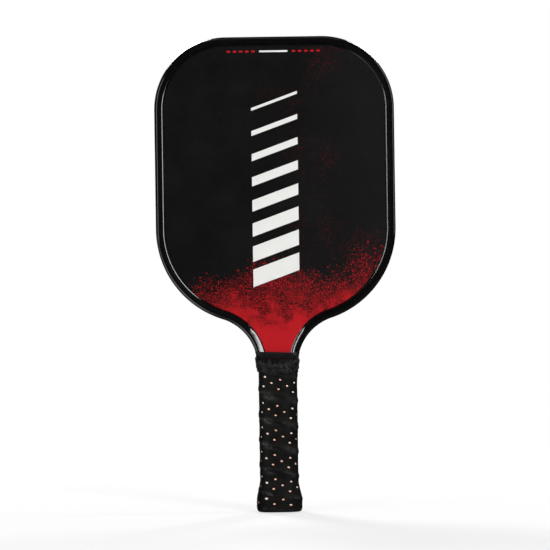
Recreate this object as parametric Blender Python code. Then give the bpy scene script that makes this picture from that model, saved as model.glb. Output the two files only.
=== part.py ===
"""Pickleball paddle: a honeycomb sandwich panel in a moulded edge guard, on a taped two-shell handle.

Metres. The origin is the centre of the butt end, +Z runs up the handle to the top of the head,
+X is to the right as seen from the front, and the front striking face looks towards -Y.
"""

import math

import bmesh
import bpy
from mathutils import Vector
from mathutils.geometry import intersect_point_line

# Outline of the paddle, measured over the edge guard
OVERALL_LENGTH = 0.402
HEAD_WIDTH = 0.203
TOP_CORNER_RADIUS = 0.061
SHOULDER_RADIUS = 0.080
NECK_RADIUS = 0.042
NECK_WIDTH = 0.034
GRIP_LENGTH = 0.135  # butt end to the upper edge of the finishing tape
NECK_TUCK = 0.0116  # depth below that edge where the neck curve runs out

# Sandwich panel
CORE_THICKNESS = 0.013
SKIN_THICKNESS = 0.0006
CELL_PITCH = 0.015
CELL_WALL = 0.0012
SMALLEST_CELL = 0.2  # share of a whole cell that a cell cut by the rim keeps at least
FRAME_BAND = 0.004
TONGUE_CLEARANCE = 0.0015  # between the tongue's end and the butt cap
SHOULDER_TUCK = 0.001  # depth of the panel's shoulders below the guard's ends

# Edge guard, a U-shaped strip
GUARD_WALL = 0.0018
GUARD_REACH = 0.008  # outer edge to the inner edge of the lip
GUARD_LIP = 0.0013
GUARD_FLAT = 0.009  # height of the straight part of the outer wall
GUARD_VALLEY = 0.0004  # depth of the groove between the bead and the lip's ridge
GUARD_BEAD = 0.0026  # width of the round outer bead
GUARD_RIDGE = 0.0018  # width of the round inner ridge
GUARD_TUCK = 0.008  # depth of the guard's ends below the finishing tape's upper edge

# Handle shells, whose section is a superellipse
HANDLE_WIDTH = 0.0274
HANDLE_DEPTH = 0.0252
HANDLE_SQUARENESS = 3.5
SHELL_WALL = 0.0022  # beside the panel's tongue
RAMP_RISE = 0.0006  # height left at the upper tip of the ramp that fairs a shell into the face
RAMP_LENGTH = 0.015
RAMP_TIP = 0.002  # the tip's depth below the finishing tape's upper edge

# Butt cap
CAP_HEIGHT = 0.027
CAP_SKIRT = 0.0012
CAP_FLOOR = 0.004
CAP_FLARE = 0.003
CAP_FLARE_START = 0.009  # below this height the flare is full
CAP_LIP_HEIGHT = 0.0026
CAP_LIP_ROUND = 0.0024

# Grip winding: a cushion backing and a perforated skin, wound together
TAPE_PITCH = 0.021
TAPE_SEAM = 0.0006
TAPE_TIP = 0.002  # width of the tape's tapered ends
CUSHION_THICKNESS = 0.001
TAPE_THICKNESS = 0.0008

# Finishing tape, wound over the end of the grip
FINISH_WIDTH = 0.0140
FINISH_THICKNESS = 0.0003
FINISH_STEP = 0.00085  # growth in radius each turn
FINISH_TURNS = 2.0
FINISH_RISE = 0.0035  # height over which it steps out to cover the guard's ends
FINISH_BLEND = 0.2  # turns before and after the first over which its upper edge draws in
FINISH_SQUARENESS = 7.0  # squareness of its section over the flat throat

FIT_GAP = 0.0003  # clearance between bonded or seated pieces
HANDLE_STEPS = 28  # facets round the handle
TAPE_ROWS = 5
FINISH_ROWS = 10
FINISH_LAP_ROWS = 2  # rows that each turn climbs past the turn below it

# Heights and half sizes that follow from the sizes above
NECK_Z = GRIP_LENGTH - NECK_TUCK
GUARD_Z = GRIP_LENGTH - GUARD_TUCK
PANEL_SHOULDER_Z = GUARD_Z - SHOULDER_TUCK
TONGUE_END_Z = CAP_HEIGHT + TONGUE_CLEARANCE
PANEL_INSET = GUARD_WALL + FIT_GAP
SKIN_INNER = CORE_THICKNESS / 2 + FIT_GAP
PANEL_HALF = SKIN_INNER + SKIN_THICKNESS
GUARD_INNER = PANEL_HALF + FIT_GAP
GUARD_HALF = GUARD_INNER + GUARD_LIP
HANDLE_A = HANDLE_WIDTH / 2
HANDLE_B = HANDLE_DEPTH / 2
TONGUE_HALF = HANDLE_A - SHELL_WALL - FIT_GAP
TAPE_INNER = CUSHION_THICKNESS + 2 * FIT_GAP
GRIP_BUILD = TAPE_INNER + TAPE_THICKNESS
TAPE_LOW_Z = CAP_LIP_HEIGHT + FIT_GAP
SHOULDER_DROP = NECK_WIDTH / 2 - PANEL_INSET - TONGUE_HALF
TAPE_HIGH_Z = PANEL_SHOULDER_Z - SHOULDER_DROP + SHELL_WALL / 2
FINISH_CLIMB = FINISH_WIDTH * FINISH_LAP_ROWS / (FINISH_ROWS - 1)
FINISH_FRONT = FINISH_TURNS - 0.5  # turns at which the outer layer crosses the front
FINISH_LOW_Z = GRIP_LENGTH - FINISH_WIDTH - FINISH_CLIMB * FINISH_FRONT
NECK_CENTRE_X = NECK_WIDTH / 2 + NECK_RADIUS
SHOULDER_CENTRE_X = HEAD_WIDTH / 2 - SHOULDER_RADIUS
SHOULDER_Z = NECK_Z + math.sqrt(
    (SHOULDER_RADIUS + NECK_RADIUS) ** 2 - (NECK_CENTRE_X - SHOULDER_CENTRE_X) ** 2
)
NECK_STEPS, SHOULDER_STEPS, CORNER_STEPS = 9, 12, 12


def clear_scene():
    for obj in list(bpy.data.objects):
        bpy.data.objects.remove(obj)


def finish_of(name, colour, roughness, metallic=0.0):
    material = bpy.data.materials.new(name)
    material.use_nodes = True
    shader = material.node_tree.nodes["Principled BSDF"]
    shader.inputs["Base Color"].default_value = (*colour, 1.0)
    shader.inputs["Roughness"].default_value = roughness
    shader.inputs["Metallic"].default_value = metallic
    return material


def add_object(name, data, material):
    obj = bpy.data.objects.new(name, data)
    bpy.context.scene.collection.objects.link(obj)
    data.materials.append(material)
    return obj


def add_mesh(name, bm, material, smooth_angle=35):
    """Turns a bmesh into an object whose faces point out, shaded smooth but for its edges."""
    bmesh.ops.recalc_face_normals(bm, faces=bm.faces)
    mesh = bpy.data.meshes.new(name)
    bm.to_mesh(mesh)
    bm.free()
    mesh.shade_smooth()
    mesh.set_sharp_from_angle(angle=math.radians(smooth_angle))
    return add_object(name, mesh, material)


def blend(low, high, share):
    return low + (high - low) * share


def ease(value, start, end):
    """0 before start, 1 after end, and a smooth S between them."""
    share = min(1.0, max(0.0, (value - start) / (end - start)))
    return share * share * (3 - 2 * share)


def arc(centre_x, centre_z, radius, start, end, steps):
    """Points (x, z) along an arc, from one angle to another in radians."""
    angles = [blend(start, end, i / steps) for i in range(steps + 1)]
    return [(centre_x + radius * math.cos(t), centre_z + radius * math.sin(t)) for t in angles]


def head_curve(inset, neck_start):
    """The right half of the outline, from the neck to the middle of the top, moved in by inset."""
    lean = math.atan2(NECK_Z - SHOULDER_Z, NECK_CENTRE_X - SHOULDER_CENTRE_X)
    corner_x = HEAD_WIDTH / 2 - TOP_CORNER_RADIUS
    corner_z = OVERALL_LENGTH - TOP_CORNER_RADIUS
    neck = arc(NECK_CENTRE_X, NECK_Z, NECK_RADIUS + inset, neck_start, lean + math.pi, NECK_STEPS)
    shoulder = arc(
        SHOULDER_CENTRE_X, SHOULDER_Z, SHOULDER_RADIUS - inset, lean, 0.0, SHOULDER_STEPS
    )
    corner = arc(corner_x, corner_z, TOP_CORNER_RADIUS - inset, 0.0, math.pi / 2, CORNER_STEPS)
    return neck + shoulder[1:] + corner + [(0.0, OVERALL_LENGTH - inset)]


def neck_half_width(z):
    """Half the width over the guard, at a height on the neck curve."""
    rise = max(0.0, z - NECK_Z)
    return NECK_CENTRE_X - math.sqrt(NECK_RADIUS**2 - rise**2)


def mirrored(right_half):
    """A closed outline from its right half, which ends on the middle line."""
    return right_half + [(-x, z) for x, z in reversed(right_half[:-1])]


def panel_outline(inset):
    """The panel with its tongue, moved in by inset from the outline over the guard."""
    moved = inset - PANEL_INSET
    slope_shift = moved * (math.sqrt(2) - 1)  # a 45 degree shoulder moves this far along Z
    tongue_x = TONGUE_HALF - moved
    shoulder_z = PANEL_SHOULDER_Z + slope_shift
    neck_start = math.pi - math.asin((shoulder_z - NECK_Z) / (NECK_RADIUS + inset))
    head = head_curve(inset, neck_start)
    tongue = [
        (tongue_x, TONGUE_END_Z + moved),
        (tongue_x, shoulder_z - (head[0][0] - tongue_x)),
    ]
    return mirrored(tongue + head)


def plate(name, outlines, y_low, y_high, material):
    """A flat piece in the X-Z plane: the first outline is its rim and the others are holes."""
    curve = bpy.data.curves.new(name, "CURVE")
    curve.dimensions = "2D"
    curve.fill_mode = "BOTH"
    curve.extrude = (y_high - y_low) / 2
    for outline in outlines:
        spline = curve.splines.new("POLY")
        spline.points.add(len(outline) - 1)
        for point, (x, z) in zip(spline.points, outline):
            point.co = (x, z, 0.0, 1.0)
        spline.use_cyclic_u = True
    obj = add_object(name, curve, material)
    obj.rotation_euler.x = math.pi / 2
    obj.location.y = (y_low + y_high) / 2
    return obj


def hexagon(centre_x, centre_z, across_flats):
    corner = across_flats / math.sqrt(3)
    turns = [math.pi / 6 + i * math.pi / 3 for i in range(6)]
    return [(centre_x + corner * math.cos(t), centre_z + corner * math.sin(t)) for t in turns]


def area(outline):
    pairs = zip(outline, outline[1:] + outline[:1])
    return abs(sum(x0 * z1 - x1 * z0 for (x0, z0), (x1, z1) in pairs)) / 2


def clipped(outline, cell):
    """The part of an outline that lies inside a convex cell."""
    kept = outline
    for (ax, az), (bx, bz) in zip(cell, cell[1:] + cell[:1]):
        side = [(bx - ax) * (z - az) - (bz - az) * (x - ax) for x, z in kept]
        found = []
        for i, (x, z) in enumerate(kept):
            j = (i + 1) % len(kept)
            if side[i] >= 0:
                found.append((x, z))
            if side[i] * side[j] < 0:
                share = side[i] / (side[i] - side[j])
                found.append((blend(x, kept[j][0], share), blend(z, kept[j][1], share)))
        kept = found
        if not kept:
            break
    return kept


def honeycomb_cells(rim):
    """Hexagonal cells on a staggered grid, cut back to a wall inside the rim."""
    row_pitch = CELL_PITCH * math.sqrt(3) / 2
    rows = int((OVERALL_LENGTH - TONGUE_END_Z) / row_pitch) + 2
    half_columns = int(HEAD_WIDTH / 2 / CELL_PITCH) + 2
    across = CELL_PITCH - CELL_WALL
    whole = area(hexagon(0, 0, across))
    cells = []
    for row in range(rows):
        z = TONGUE_END_Z + row * row_pitch
        for column in range(-half_columns, half_columns + 1):
            x = (column + 0.5 * (row % 2)) * CELL_PITCH
            cell = clipped(rim, hexagon(x, z, across))
            if len(cell) > 2 and area(cell) > SMALLEST_CELL * whole:
                cells.append(cell)
    return cells


def prism(name, outline, half_thickness, material):
    """A closed mesh: an outline in the X-Z plane, extruded the same way to both sides of it."""
    bm = bmesh.new()
    face = bm.faces.new([bm.verts.new((x, -half_thickness, z)) for x, z in outline])
    grown = bmesh.ops.extrude_face_region(bm, geom=[face])["geom"]
    moved = [v for v in grown if isinstance(v, bmesh.types.BMVert)]
    bmesh.ops.translate(bm, verts=moved, vec=(0, 2 * half_thickness, 0))
    return add_mesh(name, bm, material)


def skin_of(rings):
    """A closed bmesh: faces between rings of equally many points, and a face on each end."""
    bm = bmesh.new()
    rows = [[bm.verts.new(point) for point in ring] for ring in rings]
    for low, high in zip(rows, rows[1:]):
        for i in range(len(low)):
            j = (i + 1) % len(low)
            bm.faces.new((low[i], low[j], high[j], high[i]))
    bm.faces.new(rows[0])
    bm.faces.new(rows[-1])
    return bm


def superellipse(half_a, half_b, squareness, turn, offset=0.0):
    """A point of the section at a turn in radians, moved out along the section's normal."""
    power = 2 / squareness
    c, s = math.cos(turn), math.sin(turn)
    x = half_a * math.copysign(abs(c) ** power, c)
    y = half_b * math.copysign(abs(s) ** power, s)
    normal_x = math.copysign(abs(x / half_a) ** (squareness - 1) / half_a, x)
    normal_y = math.copysign(abs(y / half_b) ** (squareness - 1) / half_b, y)
    length = math.hypot(normal_x, normal_y)
    return x + offset * normal_x / length, y + offset * normal_y / length


def handle_point(z, turn, offset):
    """A point of the hard handle under the tape: the shells, and the cap's flare below them."""
    flare = CAP_FLARE * (1 - ease(z, CAP_FLARE_START, CAP_HEIGHT))
    return superellipse(HANDLE_A, HANDLE_B, HANDLE_SQUARENESS, turn, flare + offset)


def finish_point(z, turn, offset):
    """A point under the finishing tape, from the round grip up to the flat guarded throat."""
    grip_a = HANDLE_A + GRIP_BUILD + FIT_GAP
    grip_b = HANDLE_B + GRIP_BUILD + FIT_GAP
    throat_a = neck_half_width(z) + 2 * FIT_GAP
    throat_b = GUARD_HALF + 2 * FIT_GAP
    upward = ease(z, TAPE_HIGH_Z, GRIP_LENGTH)
    over_guard = ease(z, GUARD_Z - FINISH_RISE, GUARD_Z)
    half_a = max(grip_a, blend(grip_a, throat_a, over_guard))
    half_b = blend(grip_b, throat_b, upward)
    squareness = blend(HANDLE_SQUARENESS, FINISH_SQUARENESS, upward)
    return superellipse(half_a, half_b, squareness, turn, offset)


def distance_to_loop(point, loop):
    """The distance from a point to the nearest edge of a closed loop of points."""
    found = []
    for start, end in zip(loop, loop[1:] + loop[:1]):
        nearest, share = intersect_point_line(point, start, end)
        share = min(1.0, max(0.0, share))
        found.append((Vector(point) - Vector(start).lerp(Vector(end), share)).length)
    return min(found)


def print_least_gap(name, sections):
    """Prints the least distance between a winding's sections one turn apart, on their points."""
    pairs = list(zip(sections, sections[HANDLE_STEPS:]))
    gaps = [distance_to_loop(point, outer) for inner, outer in pairs for point in inner]
    gaps += [distance_to_loop(point, inner) for inner, outer in pairs for point in outer]
    print(f"{name}: least gap to itself {min(gaps) * 1000:.2f} mm")


def wound_tape(name, inner, thickness, material):
    """One unbroken tape wound up the handle, cut level at both ends, with its lower face at inner."""
    first = (TAPE_TIP + TAPE_SEAM) / TAPE_PITCH
    last = (TAPE_HIGH_Z - TAPE_LOW_Z - TAPE_TIP) / TAPE_PITCH + 1
    steps = math.ceil((last - first) * HANDLE_STEPS)
    rings = []
    for i in range(steps + 1):
        turns = min(first + i / HANDLE_STEPS, last)
        low = max(TAPE_LOW_Z, TAPE_LOW_Z + TAPE_PITCH * (turns - 1))
        high = min(TAPE_HIGH_Z, TAPE_LOW_Z + TAPE_PITCH * turns - TAPE_SEAM)
        heights = [blend(low, high, row / (TAPE_ROWS - 1)) for row in range(TAPE_ROWS)]
        turn = -2 * math.pi * (turns - first)
        out = [(*handle_point(z, turn, inner + thickness), z) for z in heights]
        back = [(*handle_point(z, turn, inner), z) for z in reversed(heights)]
        rings.append(out + back)
    print_least_gap(name, rings)
    return add_mesh(name, skin_of(rings), material)


def honeycomb_core(material):
    rim = panel_outline(PANEL_INSET + FRAME_BAND + FIT_GAP)
    wall = panel_outline(PANEL_INSET + FRAME_BAND + FIT_GAP + CELL_WALL)
    cells = honeycomb_cells(wall)
    return plate(
        "honeycomb_core", [rim, *cells], -CORE_THICKNESS / 2, CORE_THICKNESS / 2, material
    )


def core_frame(material):
    outlines = [panel_outline(PANEL_INSET), panel_outline(PANEL_INSET + FRAME_BAND)]
    return plate("core_frame", outlines, -CORE_THICKNESS / 2, CORE_THICKNESS / 2, material)


def face_skin(name, side, material):
    ends = sorted((side * SKIN_INNER, side * PANEL_HALF))
    return plate(name, [panel_outline(PANEL_INSET)], *ends, material)


def guard_profile():
    """The guard's section as (inward from the outer edge, across), round the outside then inside."""
    half = []
    for i in range(5):  # round outer bead
        turn = math.pi / 2 * i / 4
        inward = GUARD_BEAD * (1 - math.cos(turn))
        half.append((inward, blend(GUARD_FLAT / 2, GUARD_HALF, math.sin(turn))))
    half.append(((GUARD_BEAD + GUARD_REACH - GUARD_RIDGE) / 2, GUARD_HALF - GUARD_VALLEY))
    for i in range(4):  # round inner ridge, down to the face
        turn = math.pi / 2 * i / 3
        inward = GUARD_REACH - GUARD_RIDGE * (1 - math.sin(turn))
        half.append((inward, GUARD_INNER + GUARD_LIP * math.cos(turn)))
    channel = [(GUARD_WALL, GUARD_INNER), (GUARD_WALL, -GUARD_INNER)]
    return half + channel + [(inward, -across) for inward, across in reversed(half)]


def edge_guard(material):
    start = math.pi - math.asin((GUARD_Z - NECK_Z) / NECK_RADIUS)
    profile = guard_profile()
    paths = [mirrored(head_curve(inward, start)) for inward, _ in profile]
    stations = [
        [(x, across, z) for (x, z), (_, across) in zip(station, profile)]
        for station in zip(*paths)
    ]
    return add_mesh("edge_guard", skin_of(stations), material)


def shell_ring(z, half_a, half_b, side):
    """Half a handle section on one side of the parting plane."""
    ring = []
    for i in range(HANDLE_STEPS // 2 + 1):
        turn = 2 * math.pi * i / HANDLE_STEPS
        x, y = superellipse(half_a, half_b, HANDLE_SQUARENESS, turn)
        ring.append((x, side * max(y, FIT_GAP / 2), z))
    return ring


def handle_shell(name, side, pocket, material):
    """A half shell: a spigot for the cap, the grip's length, and a ramp up to the face."""
    spigot = CAP_SKIRT + FIT_GAP
    ledge_z = GUARD_Z - FIT_GAP
    ramp_low = GRIP_LENGTH - RAMP_TIP - RAMP_LENGTH
    ramp_half = NECK_WIDTH / 2 - GUARD_REACH - FIT_GAP
    tip_b = GUARD_INNER + RAMP_RISE
    ledge_b = blend(HANDLE_B, tip_b, (ledge_z - ramp_low) / RAMP_LENGTH)
    sections = [
        (CAP_FLOOR + FIT_GAP, HANDLE_A - spigot, HANDLE_B - spigot),
        (CAP_HEIGHT + FIT_GAP, HANDLE_A - spigot, HANDLE_B - spigot),
        (CAP_HEIGHT + 2 * FIT_GAP, HANDLE_A, HANDLE_B),
        (ramp_low, HANDLE_A, HANDLE_B),
        (ledge_z - FIT_GAP, HANDLE_A, ledge_b),
        (ledge_z, ramp_half, ledge_b),
        (ramp_low + RAMP_LENGTH, ramp_half, tip_b),
    ]
    rings = [shell_ring(z, half_a, half_b, side) for z, half_a, half_b in sections]
    shell = add_mesh(name, skin_of(rings), material)
    cut = shell.modifiers.new("panel_pocket", "BOOLEAN")
    cut.object = pocket
    cut.operation = "DIFFERENCE"
    return shell


def panel_pocket(material):
    """The panel grown by the fit gap, which hollows the handle shells."""
    cutter = prism("panel_pocket", panel_outline(PANEL_INSET - FIT_GAP), GUARD_INNER, material)
    cutter.hide_render = True
    cutter.display_type = "WIRE"
    return cutter


def butt_cap(material):
    """A cup with a round-edged end lip, a flare under the tape and a socket for the spigot."""
    lip = CAP_FLARE + GRIP_BUILD
    flare_heights = [blend(CAP_LIP_HEIGHT, CAP_HEIGHT, i / 6) for i in range(7)]
    flares = [(z, CAP_FLARE * (1 - ease(z, CAP_FLARE_START, CAP_HEIGHT))) for z in flare_heights]
    rounds = [math.pi / 2 * i / 3 for i in range(4)]
    lip_edge = [
        (CAP_LIP_ROUND * (1 - math.sin(t)), lip - CAP_LIP_ROUND * (1 - math.cos(t)))
        for t in reversed(rounds)
    ]
    sections = [
        *lip_edge,
        (CAP_LIP_HEIGHT, lip),
        *flares,
        (CAP_HEIGHT, -CAP_SKIRT),
        (CAP_FLOOR, -CAP_SKIRT),
    ]
    rings = []
    for z, offset in sections:
        turns = [2 * math.pi * i / HANDLE_STEPS for i in range(HANDLE_STEPS)]
        points = [superellipse(HANDLE_A, HANDLE_B, HANDLE_SQUARENESS, t, offset) for t in turns]
        rings.append([(x, y, z) for x, y in points])
    return add_mesh("butt_cap", skin_of(rings), material)


def finishing_tape(material):
    """A tape wound on itself over the end of the grip and the guard's ends, climbing as it goes."""
    steps = round(FINISH_TURNS * HANDLE_STEPS)
    rings = []
    for i in range(steps + 1):
        turns = i / HANDLE_STEPS
        turn = math.pi / 2 - 2 * math.pi * turns
        low = FINISH_LOW_Z + FINISH_CLIMB * turns
        high = low + FINISH_WIDTH
        second_layer = ease(turns, 1 - FINISH_BLEND, 1 + FINISH_BLEND)
        out, back = [], []
        for row in range(FINISH_ROWS):
            z = blend(low, high, row / (FINISH_ROWS - 1))
            drawn_in = second_layer * ease(z, high - FINISH_CLIMB, high)
            inner = FINISH_STEP * turns * (1 - drawn_in)
            out.append((*finish_point(z, turn, inner + FINISH_THICKNESS), z))
            back.insert(0, (*finish_point(z, turn, inner), z))
        rings.append(out + back)
    print_least_gap("finishing_tape", rings)
    return add_mesh("finishing_tape", skin_of(rings), material)


def main():
    clear_scene()
    polymer = finish_of("core_polymer", (0.72, 0.72, 0.70), 0.6)
    frame_polymer = finish_of("frame_polymer", (0.05, 0.05, 0.05), 0.5)
    front_print = finish_of("front_print", (0.008, 0.008, 0.008), 0.55)
    rear_print = finish_of("rear_print", (0.008, 0.008, 0.008), 0.55)
    guard_black = finish_of("guard_black", (0.006, 0.006, 0.006), 0.22)
    shell_grey = finish_of("shell_grey", (0.10, 0.10, 0.10), 0.6)
    cap_black = finish_of("cap_black", (0.010, 0.010, 0.010), 0.45)
    cushion_orange = finish_of("cushion_orange", (0.90, 0.50, 0.35), 0.8)
    tape_black = finish_of("tape_black", (0.013, 0.013, 0.013), 0.5)
    finish_black = finish_of("finish_black", (0.011, 0.011, 0.011), 0.4)

    honeycomb_core(polymer)
    core_frame(frame_polymer)
    face_skin("front_face", -1, front_print)
    face_skin("rear_face", 1, rear_print)
    edge_guard(guard_black)
    pocket = panel_pocket(shell_grey)
    handle_shell("front_handle_shell", -1, pocket, shell_grey)
    handle_shell("rear_handle_shell", 1, pocket, shell_grey)
    butt_cap(cap_black)
    wound_tape("grip_cushion", FIT_GAP, CUSHION_THICKNESS, cushion_orange)
    wound_tape("grip_tape", TAPE_INNER, TAPE_THICKNESS, tape_black)
    finishing_tape(finish_black)


main()
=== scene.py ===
import math

import bmesh
import bpy
import numpy as np
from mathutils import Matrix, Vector, noise


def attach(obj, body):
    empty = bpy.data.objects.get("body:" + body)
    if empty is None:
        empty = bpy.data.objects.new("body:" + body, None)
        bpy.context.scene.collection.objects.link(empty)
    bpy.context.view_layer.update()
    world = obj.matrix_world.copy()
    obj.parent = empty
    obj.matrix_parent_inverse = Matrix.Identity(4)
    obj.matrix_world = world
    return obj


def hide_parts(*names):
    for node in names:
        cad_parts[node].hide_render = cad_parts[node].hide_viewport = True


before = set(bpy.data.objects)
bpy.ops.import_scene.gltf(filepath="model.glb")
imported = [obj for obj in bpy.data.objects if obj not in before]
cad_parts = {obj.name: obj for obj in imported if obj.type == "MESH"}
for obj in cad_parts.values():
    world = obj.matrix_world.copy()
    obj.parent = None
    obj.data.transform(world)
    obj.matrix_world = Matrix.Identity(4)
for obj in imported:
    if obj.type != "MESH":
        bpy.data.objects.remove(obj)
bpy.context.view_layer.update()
print("frame:", len(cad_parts), "nodes loaded")

# the paddle's own sizes in metres: butt end at the origin, head up, front face towards -Y
paddle = {
    "length": 0.402,
    "headWidth": 0.203,
    "cornerRadius": 0.061,
    "shoulderRadius": 0.080,
    "neckRadius": 0.042,
    "neckWidth": 0.034,
    "neckZ": 0.1234,
    "guardZ": 0.127,  # where the guard's ends stop under the finishing tape
    "gripTop": 0.135,
    "handleA": 0.0137,  # half the hard handle's width and depth
    "handleB": 0.0126,
    "squareness": 3.5,
    "flare": 0.003,
    "flareStart": 0.009,
    "capHeight": 0.027,
}
neckX = paddle["neckWidth"] / 2 + paddle["neckRadius"]  # centre of the right neck's curve


def mix(low, high, share):
    return low + (high - low) * share


def smooth(value, start, end):
    share = min(1.0, max(0.0, (value - start) / (end - start)))
    return share * share * (3 - 2 * share)


def bump(value, middle, width):
    return math.exp(-(((value - middle) / width) ** 2))


def ripple(x, y, z, seed):
    return noise.noise(Vector((x + seed * 17.3, y - seed * 5.1, z + seed * 3.7)))


# shared helpers for node trees


def addNode(tree, kind, values=None, **settings):
    made = tree.nodes.new("ShaderNode" + kind)
    for key, value in settings.items():
        setattr(made, key, value)
    for key, value in (values or {}).items():
        if isinstance(value, bpy.types.NodeSocket):
            tree.links.new(value, made.inputs[key])
        else:
            made.inputs[key].default_value = value
    return made


def calc(tree, operation, *values):
    return addNode(tree, "Math", dict(enumerate(values)), operation=operation).outputs[0]


def times(tree, first, second):
    return calc(tree, "MULTIPLY", first, second)


def timesPlus(tree, first, second, third):
    return calc(tree, "MULTIPLY_ADD", first, second, third)


def minus(tree, first, second):
    return calc(tree, "SUBTRACT", first, second)


def step(tree, value, start, end, low=0.0, high=1.0):
    values = {"Value": value, "From Min": start, "From Max": end, "To Min": low, "To Max": high}
    return addNode(tree, "MapRange", values, interpolation_type="SMOOTHSTEP").outputs[0]


def fall(tree, value, start, end):
    return step(tree, value, start, end, 1.0, 0.0)


def between(tree, value, start, end):
    # 1 from one soft edge to the other
    return times(tree, step(tree, value, *start), fall(tree, value, *end))


def mixColour(tree, share, first, second):
    return addNode(tree, "Mix", {0: share, 6: first, 7: second}, data_type="RGBA").outputs[2]


def cloud(tree, place, scale, detail, roughness):
    values = {"Vector": place, "Scale": scale, "Detail": detail, "Roughness": roughness}
    return addNode(tree, "TexNoise", values).outputs["Fac"]


def newGroup(name, values, outputs):
    # takes a place and named values; of the outputs only Color is a colour
    tree = bpy.data.node_groups.new(name, "ShaderNodeTree")
    addSocket = tree.interface.new_socket
    addSocket("Vector", in_out="INPUT", socket_type="NodeSocketVector")
    for key, value in values.items():
        addSocket(key, in_out="INPUT", socket_type="NodeSocketFloat").default_value = value
    for key in outputs:
        kind = "NodeSocketColor" if key == "Color" else "NodeSocketFloat"
        addSocket(key, in_out="OUTPUT", socket_type=kind)
    return tree, tree.nodes.new("NodeGroupInput").outputs, tree.nodes.new("NodeGroupOutput").inputs


def useGroup(tree, group, **values):
    return addNode(tree, "Group", values, node_tree=group).outputs


def newMaterial(name, **sockets):
    material = bpy.data.materials.new(name)
    material.use_nodes = True
    tree = material.node_tree
    shader = tree.nodes["Principled BSDF"]
    for key, value in sockets.items():
        shader.inputs[key.replace("_", " ")].default_value = value
    place = addNode(tree, "TexCoord").outputs["Object"]
    return material, tree, shader, place


def feed(tree, inputs, **sockets):
    for key, value in sockets.items():
        tree.links.new(value, inputs[key.replace("_", " ")])


def feedBump(tree, shader, height, distance, strength=1.0):
    values = {"Height": height, "Distance": distance, "Strength": strength}
    feed(tree, shader.inputs, Normal=addNode(tree, "Bump", values).outputs[0])


def grey(level, warmth=0.0):
    return (level * (1 + warmth), level, level * (1 - warmth), 1.0)


# shared effects


def makeFineGrain():
    # small pits and pebbles of moulded or coated plastic
    tree, inputs, outputs = newGroup("fine grain", {"Size": 0.001, "Unevenness": 0.5}, ["Height", "Shade"])
    scale = calc(tree, "DIVIDE", 1.0, inputs["Size"])
    pebbles = addNode(tree, "TexVoronoi", {"Vector": inputs["Vector"], "Scale": scale})
    fine = cloud(tree, inputs["Vector"], scale, 2.0, 0.6)
    coarse = cloud(tree, inputs["Vector"], calc(tree, "DIVIDE", scale, 9.0), 3.0, 0.6)
    pits = minus(tree, fine, times(tree, pebbles.outputs["Distance"], 0.6))
    shade = timesPlus(tree, minus(tree, coarse, 0.5), inputs["Unevenness"], 0.5)
    shade = timesPlus(tree, minus(tree, fine, 0.5), 0.5, shade)
    feed(tree, outputs, Height=pits, Shade=shade)
    return tree


def makeScuffsAndSheen():
    # rubbed streaks and patches, stronger where Wear is high and smoother where Softness is 1, where they
    # paint a soft sheen
    defaults = {"Size": 0.004, "Wear": 0.5, "Base": 0.0, "Softness": 0.0}
    tree, inputs, outputs = newGroup("scuffsAndSheen", defaults, ["Mask"])
    scale = calc(tree, "DIVIDE", 1.0, inputs["Size"])
    slant = {"Vector": inputs["Vector"], "Rotation": (0.0, math.radians(35), 0.0), "Scale": (3.5, 1.0, 1.0)}
    drawnOut = addNode(tree, "Mapping", slant, vector_type="TEXTURE").outputs[0]
    patches = cloud(tree, inputs["Vector"], scale, 4.0, 0.65)
    streaks = cloud(tree, drawnOut, times(tree, scale, 5.0), 2.0, 0.7)
    soft = inputs["Softness"]
    patchStart = timesPlus(tree, soft, -0.17, 0.45)
    streakStart = timesPlus(tree, soft, -0.18, 0.38)
    streakEnd = timesPlus(tree, soft, 0.18, 0.62)
    inPatch = step(tree, patches, patchStart, 0.72)
    inStreak = step(tree, streaks, streakStart, streakEnd)
    rubbedAndSheen = times(tree, inPatch, inStreak)
    amount = calc(tree, "ADD", inputs["Wear"], inputs["Base"])
    feed(tree, outputs, Mask=times(tree, rubbedAndSheen, amount))
    return tree


fineGrain = makeFineGrain()
scuffsAndSheen = makeScuffsAndSheen()


# the printed faces: a pair of lengths or shares is where a soft edge starts and ends

face = {
    "black": grey(0.0025),
    "cloudedBlack": grey(0.0050),
    # painted light: the paler black that one side of each face turns to
    "paintedLitBlack": grey(0.0086),
    "red": (0.39, 0.0085, 0.0125, 1.0),
    "deepRed": (0.28, 0.0060, 0.0088, 1.0),
    "pale": (0.68, 0.68, 0.66, 1.0),
    "hazeScale": 22.0,  # noise scales are in cells a metre
    # painted light: where across the face it turns paler
    "paintedLightSide": (-0.01, 0.09),
    "sprayZ": 0.186,  # height of the spray's edge on the middle line
    "spraySlope": 0.11,
    "sprayDepth": 0.026,
    "waveScale": 17.0,
    "waveHeight": 0.085,
    "puffScale": 90.0,
    "puffDepth": 1.6,  # in spray depths
    "dropSizes": (0.0006, 0.0010, 0.0019),
    "driftScale": 19.0,
    "driftSide": (-0.07, 0.10),
    "dustShare": 0.45,
    "barLow": 0.197,
    "barHigh": 0.367,
    "barPitch": 0.0213,
    "barThick": 0.0150,
    "barThin": 0.0026,
    "barHalfWidth": 0.0195,
    "barLean": 0.36,
    "barSoft": 0.00015,
    "columnSoft": 0.0001,
    "dashZ": 0.3895,
    "dashPitch": 0.0052,
    "dashSide": (0.0006, 0.0009),
    "dashStart": (0.0, 0.04),  # shares of the pitch
    "dashEnd": (0.55, 0.60),
    "rowStart": (0.0154, 0.0156),  # from the middle line
    "rowEnd": (0.0415, 0.0418),
    "paleEnd": (0.0118, 0.0122),
    "specular": 0.07,
    "roughness": 0.80,
    "roughSpread": 0.20,
    "inkSmoother": 0.08,
    "inkHeight": 0.35,  # over the grit's own height
    "gritSize": 0.00045,
    "gritDepth": 0.00005,
    "gritStrength": 0.5,
}


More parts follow.
